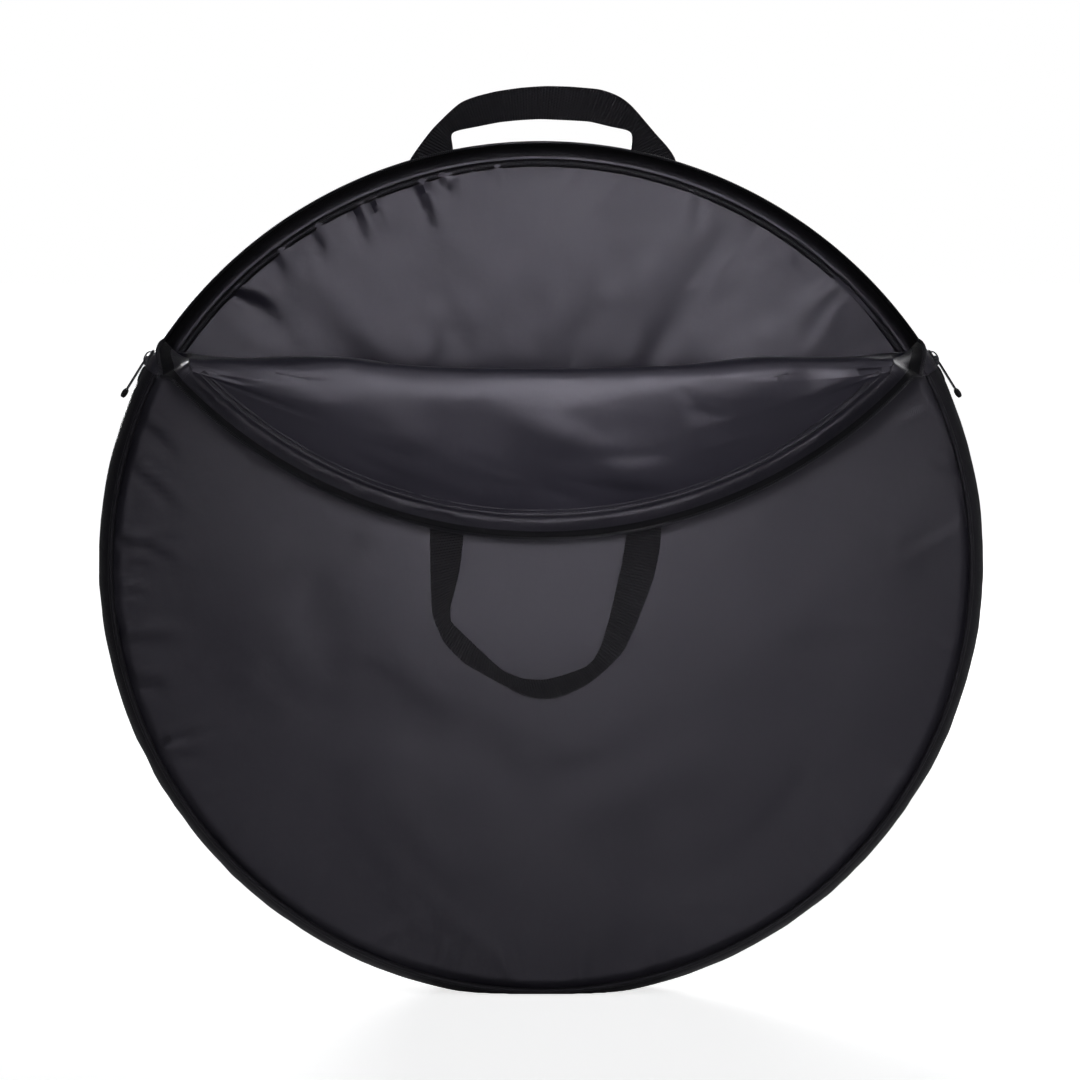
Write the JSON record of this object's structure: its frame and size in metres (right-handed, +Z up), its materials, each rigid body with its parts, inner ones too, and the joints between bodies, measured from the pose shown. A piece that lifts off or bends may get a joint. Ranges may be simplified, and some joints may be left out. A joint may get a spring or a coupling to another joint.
{
  "type": "bike wheel bag",
  "caption": "Round padded bag for a bicycle wheel, standing open: the zipped upper front folds down, with webbing handles on the flap and the back.",
  "frame": {"origin": "middle of the flat patch of the rim that the bag stands on", "axes": "+Z up, +X to the right seen from the front, -Y to the front, so the flap folds down towards -Y"},
  "size_m": [0.759, 0.1795, 0.7826],
  "materials": {
    "bag_cloth": "coated nylon with a satin sheen",
    "lining_cloth": "smooth nylon lining, satin",
    "band_cloth": "matt woven nylon",
    "foam": "closed-cell foam between the cloths",
    "piping_cord": "cloth-covered cord",
    "webbing": "ribbed nylon webbing",
    "zip_tape": "woven zip tape",
    "zip_coil": "moulded nylon coil",
    "slider_metal": "black lacquered die casting",
    "grip_rubber": "moulded rubber",
    "guard_plastic": "stiff sheet under cloth"
  },
  "bodies": {
    "bag": {"rear_shell": "bag_cloth", "rear_padding": "foam", "rear_lining": "lining_cloth", "front_shell": "bag_cloth", "front_padding": "foam", "front_lining": "lining_cloth", "gusset_rear": "band_cloth", "gusset_tread": "band_cloth", "gusset_front": "band_cloth", "gusset_lining": "lining_cloth", "rear_zip_band": "band_cloth", "rear_zip_tape": "zip_tape", "rear_zip_coil": "zip_coil", "rear_piping": "piping_cord", "front_piping": "piping_cord", "rear_binding": "band_cloth", "front_binding": "band_cloth", "rear_axle_guard": "guard_plastic", "front_axle_guard": "guard_plastic", "left_zip_stop": "band_cloth", "right_zip_stop": "band_cloth", "front_fold": "lining_cloth", "left_fold_band": "band_cloth", "left_fold_tape": "zip_tape", "left_fold_coil": "zip_coil", "right_fold_band": "band_cloth", "right_fold_tape": "zip_tape", "right_fold_coil": "zip_coil", "top_handle_end_left": "webbing", "top_handle_end_right": "webbing"},
    "flap": {"flap_shell": "bag_cloth", "flap_padding": "foam", "flap_lining": "lining_cloth", "flap_zip_band": "band_cloth", "flap_zip_tape": "zip_tape", "flap_zip_coil": "zip_coil", "flap_piping": "piping_cord", "flap_binding": "band_cloth", "front_handle_end_left": "webbing", "front_handle_end_right": "webbing"},
    "top_handle": {"top_handle": "webbing"},
    "front_handle": {"front_handle": "webbing"},
    "left_slider": {"left_slider": "slider_metal"},
    "right_slider": {"right_slider": "slider_metal"},
    "left_pull": {"left_pull_tab": "slider_metal", "left_pull_grip": "grip_rubber"},
    "right_pull": {"right_pull_tab": "slider_metal", "right_pull_grip": "grip_rubber"}
  },
  "joints": [
    {"name": "flap_fold", "type": "hinge", "parent": "bag", "child": "flap", "pos_m": [0, -0.066, 0.57506], "axis": [-1, 0, 0], "range_deg": [0, 195], "deforming": ["front_fold", "left_fold_band", "left_fold_tape", "left_fold_coil", "right_fold_band", "right_fold_tape", "right_fold_coil"]},
    {"name": "top_handle_swing", "type": "hinge", "parent": "bag", "child": "top_handle", "pos_m": [0, 0.0336, 0.63704], "axis": [-1, 0, 0], "range_deg": [0, 165]},
    {"name": "front_handle_swing", "type": "hinge", "parent": "flap", "child": "front_handle", "pos_m": [0, -0.06172, 0.42771], "axis": [-1, 0, 0], "range_deg": [0, 25]},
    {"name": "left_slider_run", "type": "hinge", "parent": "bag", "child": "left_slider", "pos_m": [0, 0, 0.33994], "axis": [0, 1, 0], "range_deg": [0, 55]},
    {"name": "right_slider_run", "type": "hinge", "parent": "bag", "child": "right_slider", "pos_m": [0, 0, 0.33994], "axis": [0, -1, 0], "range_deg": [0, 55]},
    {"name": "left_pull_turn", "type": "hinge", "parent": "left_slider", "child": "left_pull", "pos_m": [-0.33651, 0, 0.55218], "axis": [0, 1, 0], "range_deg": [0, 105]},
    {"name": "right_pull_turn", "type": "hinge", "parent": "right_slider", "child": "right_pull", "pos_m": [0.33651, 0, 0.55218], "axis": [0, -1, 0], "range_deg": [0, 105]}
  ]
}
